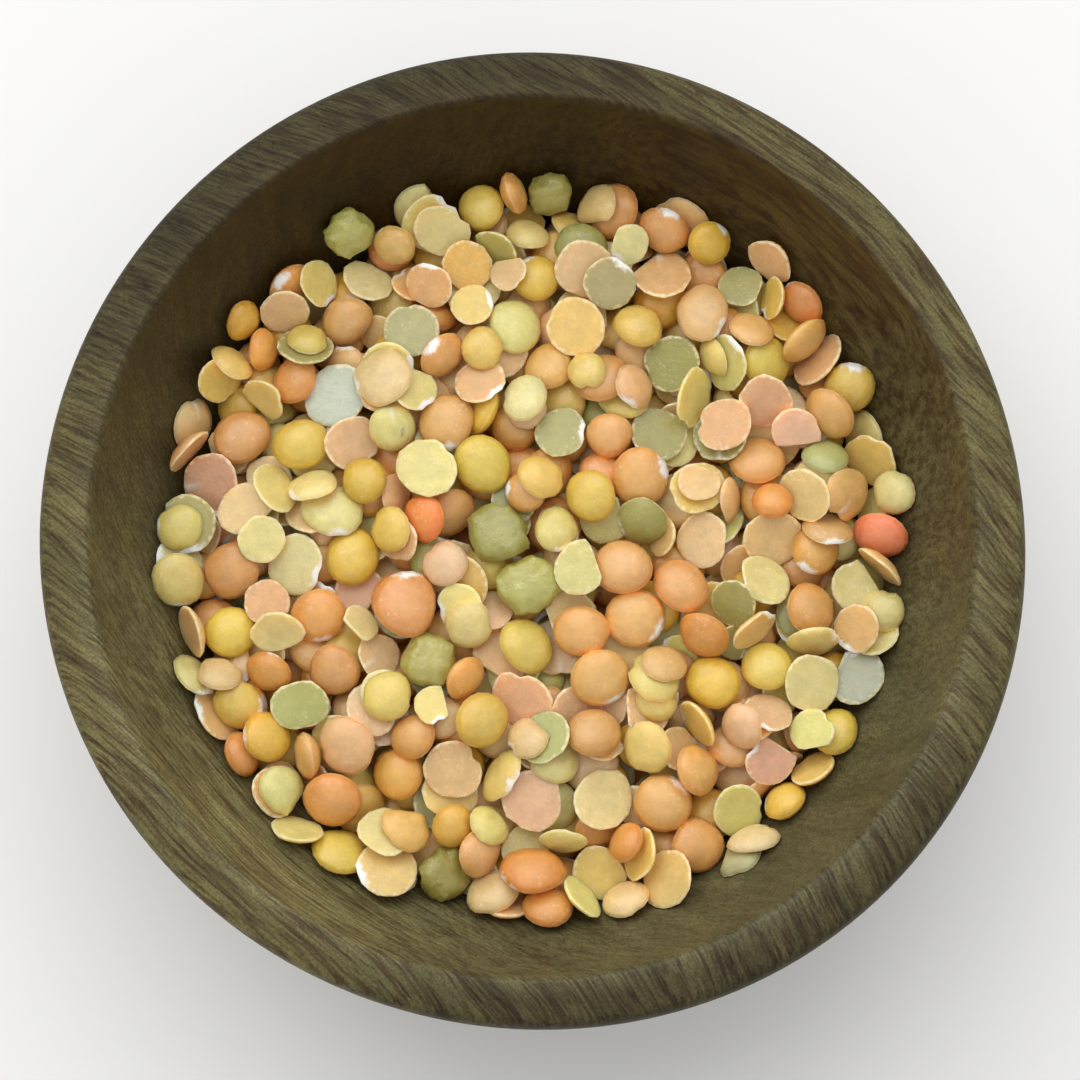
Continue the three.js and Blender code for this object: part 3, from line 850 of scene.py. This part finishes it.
        # Dust, in drifts.
        noise_inputs = {"Vector": place, "Scale": 1 / DUST_SIZE, "Detail": 3.0, "Roughness": 0.75}
        dust = add(tree, "TexNoise", noise_inputs)
        dust = add(tree, "MapRange", {0: dust, 1: 0.56, 2: 0.74, 3: 0.0, 4: chalk})
        drift = add(tree, "TexNoise", {"Vector": place, "Scale": 1 / DRIFT_SIZE, "Detail": 1.0})
        drift = add(tree, "MapRange", {0: drift, 1: 0.45, 2: 0.62, 3: 0.1, 4: 1.0})
        dust = add(tree, "Math", {0: dust, 1: drift}, operation="MULTIPLY")
        white = add(tree, "Math", {0: patch, 1: dust}, operation="MAXIMUM")
        white = add(tree, "Math", {0: white, 1: groove}, operation="MAXIMUM")
        tone = add(tree, "Mix", {0: white, 6: tone, 7: (*linear(CHALK), 1)}, out=2, data_type="RGBA")

        size, relief = (WRINKLE_SIZE, WRINKLE_RELIEF) if form == "wrinkled" else (SKIN_SIZE, SKIN_RELIEF)
        grain = add(tree, "TexNoise", {"Vector": place, "Scale": 1 / size, "Detail": 2.0, "Roughness": 0.6})
        bump = add(tree, "Bump", {"Strength": 0.7, "Distance": relief * MM, "Height": grain})
        rough = add(tree, "MapRange", {0: cloud, 1: 0.3, 2: 0.7, 3: 0.3, 4: 0.42})
        settings = {
            "Base Color": tone,
            "Roughness": rough,
            "IOR": 1.46,
            "Specular IOR Level": 0.85,
            "Normal": bump,
            "Subsurface Weight": 1.0,
            "Subsurface Radius": (1.0, 0.55, 0.25),
            "Subsurface Scale": 1.5 * MM,
        }
        return add(tree, "BsdfPrincipled", settings, subsurface_method="BURLEY")

    return shader


# Painted shade: the core's colours are darker and more saturated than the lentils', to stand for lentils in
# the shade of the gaps.
CORE_DARK, CORE_LIGHT = "#b96b20", "#d09038"
CORE_CELL = 3.5


def shaded_core(tree):
    """What shows deep between the lentils: more of the same, coloured darker and deeper than the lentils as
    painted shade.
    """
    place = add(tree, "TexCoord", out="Object")
    blotch = add(tree, "TexVoronoi", {"Vector": place, "Scale": 1 / (CORE_CELL * MM)}, out=1)
    share = add(tree, "SeparateColor", {0: blotch})
    seeds = {0: share, 6: (*linear(CORE_DARK), 1), 7: (*linear(CORE_LIGHT), 1)}
    tone = add(tree, "Mix", seeds, out=2, data_type="RGBA")
    return add(tree, "BsdfPrincipled", {"Base Color": tone, "Roughness": 0.6})


BOARD_DARK, BOARD_LIGHT = "#f4f3f1", "#f7f7f6"
MOTTLE_SIZE = 40


def matt_white_board(tree):
    """A matt painted board, almost white."""
    place = add(tree, "TexCoord", out="Object")
    mottle = add(tree, "TexNoise", {"Vector": place, "Scale": 1 / (MOTTLE_SIZE * MM)})
    paint = {0: mottle, 6: (*linear(BOARD_DARK), 1), 7: (*linear(BOARD_LIGHT), 1)}
    tone = add(tree, "Mix", paint, out=2, data_type="RGBA")
    return add(tree, "BsdfPrincipled", {"Base Color": tone, "Roughness": 0.9})


# ---- Camera, light and floor -----------------------------------------------------------------------

VIEW_ELEVATION = math.radians(84)
VIEW_DISTANCE = 320
VIEW_LENS = 130.4
SENSOR_WIDTH = 36
AIM = Vector((0.62, -0.18, BELLY_Z))  # the point that the camera looks at

KEY_AZIMUTH = math.radians(104)  # the light comes from behind the bowl, a little from the left
KEY_ELEVATION = math.radians(50)
KEY_DISTANCE = 1.0  # in metres, as its size is
KEY_SIZE = 1.3
KEY_POWER = 8.5  # in watts
WORLD_STRENGTH = 0.68
FLOOR_SIZE = 3.0  # in metres


def add_camera():
    """A long lens, almost straight above the bowl."""
    back = Vector((0, -math.cos(VIEW_ELEVATION), math.sin(VIEW_ELEVATION)))
    data = bpy.data.cameras.new("camera")
    data.lens = VIEW_LENS
    data.sensor_width = SENSOR_WIDTH
    camera = bpy.data.objects.new("camera", data)
    camera.location = (AIM + back * VIEW_DISTANCE) * MM
    camera.rotation_euler = back.to_track_quat("Z", "Y").to_euler()
    bpy.context.scene.collection.objects.link(camera)
    bpy.context.scene.camera = camera


def add_key_light():
    """A large square softbox that faces the bowl."""
    level = math.cos(KEY_ELEVATION)
    sideways, backwards = level * math.cos(KEY_AZIMUTH), level * math.sin(KEY_AZIMUTH)
    direction = Vector((sideways, backwards, math.sin(KEY_ELEVATION)))
    data = bpy.data.lights.new("key", "AREA")
    data.size = KEY_SIZE
    data.energy = KEY_POWER
    light = bpy.data.objects.new("key", data)
    light.location = direction * KEY_DISTANCE + Vector((0, 0, HEIGHT * MM))
    light.rotation_euler = direction.to_track_quat("Z", "Y").to_euler()
    bpy.context.scene.collection.objects.link(light)


def add_surroundings():
    """An even white world, the key light and the floor."""
    world = bpy.data.worlds.new("studio")
    world.use_nodes = True
    background = world.node_tree.nodes["Background"]
    background.inputs["Color"].default_value = (1, 1, 1, 1)
    background.inputs["Strength"].default_value = WORLD_STRENGTH
    bpy.context.scene.world = world
    bpy.context.scene.view_settings.view_transform = "Standard"
    add_key_light()
    bpy.ops.object.select_all(action="DESELECT")
    bpy.ops.mesh.primitive_plane_add(size=FLOOR_SIZE, location=(0, 0, 0))
    floor = bpy.context.object
    floor.name = "floor"
    floor.data.materials.append(finish_material("matt_white_board", matt_white_board))


# ---- The part --------------------------------------------------------------------------------------


def dress(piece, node, material):
    """Gives a finished piece its material and its place in the part."""
    piece.data.materials.append(material)
    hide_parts(node)
    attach(piece, "root")


add_camera()
add_surroundings()
dress(make_bowl(), "bowl", finish_material("stained_hardwood", stained_wood))
dress(make_core(), "lentils", finish_material("shaded_lentils", shaded_core))
lay_heap()
for name, (form, slot, *_) in KINDS.items():
    dress(joined(name), "lentils", finish_material(name + "_lentil", dry_lentil(DUST[slot], form)))
